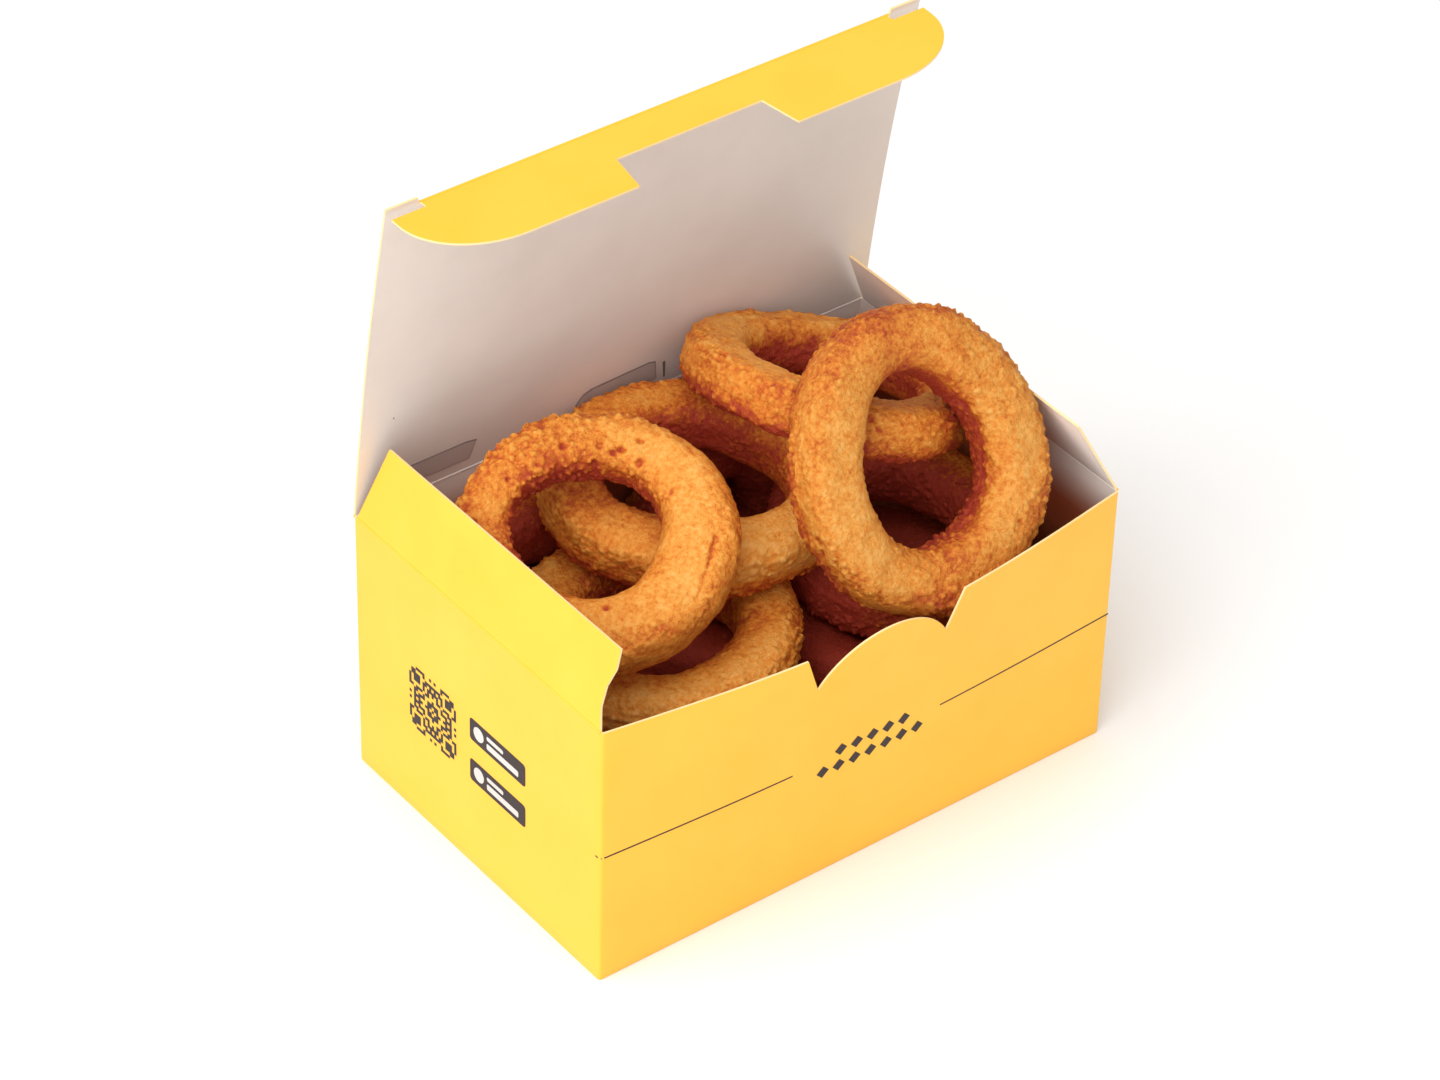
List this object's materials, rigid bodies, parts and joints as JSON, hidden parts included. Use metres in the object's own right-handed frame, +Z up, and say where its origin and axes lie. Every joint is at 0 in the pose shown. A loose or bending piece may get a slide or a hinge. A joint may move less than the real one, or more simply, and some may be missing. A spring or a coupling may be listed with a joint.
{
  "type": "onion rings side",
  "caption": "Battered fried onion rings heaped in an open paperboard carton with a raised hinged lid, tuck flap, dust flaps and a thumb-tab front",
  "frame": {"origin": "centre of the underside of the carton's base, on the surface it rests on", "axes": "+X to the right along the front wall, +Y from the front wall to the back wall and lid, +Z up"},
  "size_m": [0.165, 0.1147, 0.1843],
  "materials": {
    "board_outside": "satin printed paperboard",
    "board_inside": "uncoated paperboard",
    "crust": "fried batter"
  },
  "bodies": {
    "carton": {"carton": "board_outside", "ring_01": "crust", "ring_02": "crust", "ring_03": "crust", "ring_04": "crust", "ring_05": "crust", "ring_06": "crust", "ring_07": "crust", "ring_08": "crust", "ring_09": "crust", "ring_10": "crust", "ring_11": "crust", "ring_12": "crust"},
    "lid": {"lid": "board_inside"},
    "tuck_flap": {"tuck_flap": "board_outside"},
    "left_flap": {"left_flap": "board_outside"},
    "right_flap": {"right_flap": "board_inside"}
  },
  "joints": [
    {"name": "lid_hinge", "type": "hinge", "parent": "carton", "child": "lid", "pos_m": [0, 0.0527, 0.081], "axis": [-1, 0, 0], "range_deg": [0, 110]},
    {"name": "tuck_hinge", "type": "hinge", "parent": "lid", "child": "tuck_flap", "pos_m": [0, 0.03612, 0.18225], "axis": [-1, 0, 0], "range_deg": [-30, 80]},
    {"name": "left_flap_hinge", "type": "hinge", "parent": "carton", "child": "left_flap", "pos_m": [-0.0822, 0, 0.081], "axis": [0, -1, 0], "range_deg": [0, 100]},
    {"name": "right_flap_hinge", "type": "hinge", "parent": "carton", "child": "right_flap", "pos_m": [0.0822, 0, 0.081], "axis": [0, 1, 0], "range_deg": [0, 110]}
  ]
}
